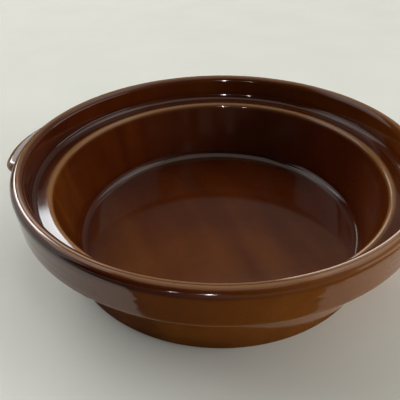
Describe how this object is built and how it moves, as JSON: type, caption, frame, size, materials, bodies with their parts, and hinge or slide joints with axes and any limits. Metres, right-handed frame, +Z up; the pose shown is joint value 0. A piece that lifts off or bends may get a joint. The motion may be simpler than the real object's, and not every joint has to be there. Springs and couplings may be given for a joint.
{
  "type": "casserole dish",
  "caption": "Round glazed stoneware casserole dish, open, with a deep well, a ledge inside a tall collar for a lid, a rolled rim, a recessed foot and lug handles at the sides.",
  "frame": {"origin": "centre of the foot's standing plane, on the dish's axis", "axes": "+Z up along the dish's axis, +X through the middle of the right lug, so the lugs lie on -X and +X"},
  "size_m": [0.2786, 0.25, 0.0688],
  "materials": {
    "brown_glaze": "glossy dark brown glaze that breaks to amber on the edges, with a bare buff standing ring"
  },
  "bodies": {
    "root": {"stoneware_body": "brown_glaze", "lug_handle_left": "brown_glaze", "lug_handle_right": "brown_glaze"}
  },
  "joints": []
}
